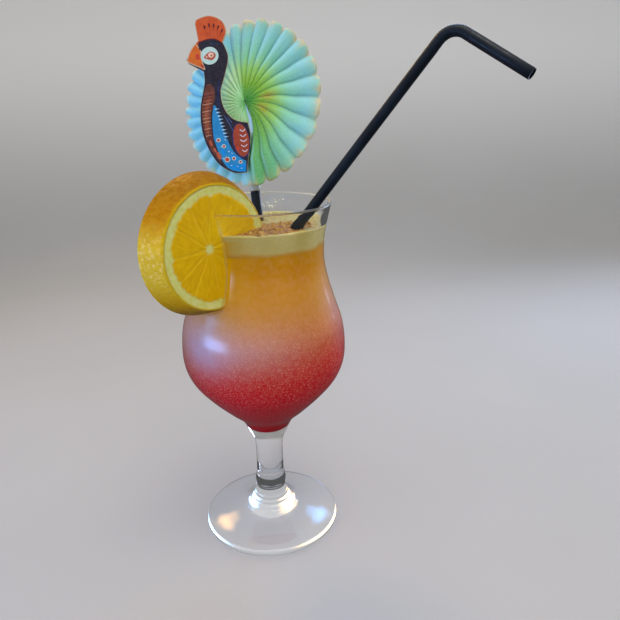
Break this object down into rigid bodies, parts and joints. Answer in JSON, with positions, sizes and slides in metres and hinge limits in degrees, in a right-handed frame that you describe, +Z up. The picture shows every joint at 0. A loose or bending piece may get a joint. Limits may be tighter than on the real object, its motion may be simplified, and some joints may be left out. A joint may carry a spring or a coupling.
{
  "type": "layered sunset cocktail in a stemmed glass",
  "caption": "Layered red-to-orange iced cocktail in a short-stemmed tulip glass, with an orange slice on the rim, a bent straw and a paper peacock pick.",
  "frame": {"origin": "centre of the glass foot's flat underside", "axes": "+Z up along the glass's axis; -Y towards the viewer, with the orange slice on the -X side and the bent straw leaning to +X"},
  "size_m": [0.1588, 0.105, 0.2651],
  "materials": {
    "clear_glass": "clear, polished",
    "red_syrup": "deep crimson liquid with fine bubbles",
    "coral_juice": "cloudy coral liquid with fine bubbles",
    "orange_juice": "cloudy orange liquid",
    "juice_foam": "dense pale froth",
    "orange_fruit": "moist cut citrus with a pebbled waxy rind",
    "black_straw": "satin",
    "pick_wood": "plain birch",
    "grey_sleeve": "cloudy, translucent",
    "tail_paper": "tinted tissue-weight paper, pleated",
    "printed_card": "printed thin card with a pale cut edge"
  },
  "bodies": {
    "root": {"glass": "clear_glass", "drink_red": "red_syrup", "drink_coral": "coral_juice", "drink_orange": "orange_juice", "foam": "juice_foam", "orange_slice": "orange_fruit", "straw": "black_straw", "straw_short": "black_straw", "pick_stick": "pick_wood", "pick_sleeve": "grey_sleeve", "paper_tail": "tail_paper", "peacock_card": "printed_card"}
  },
  "joints": []
}
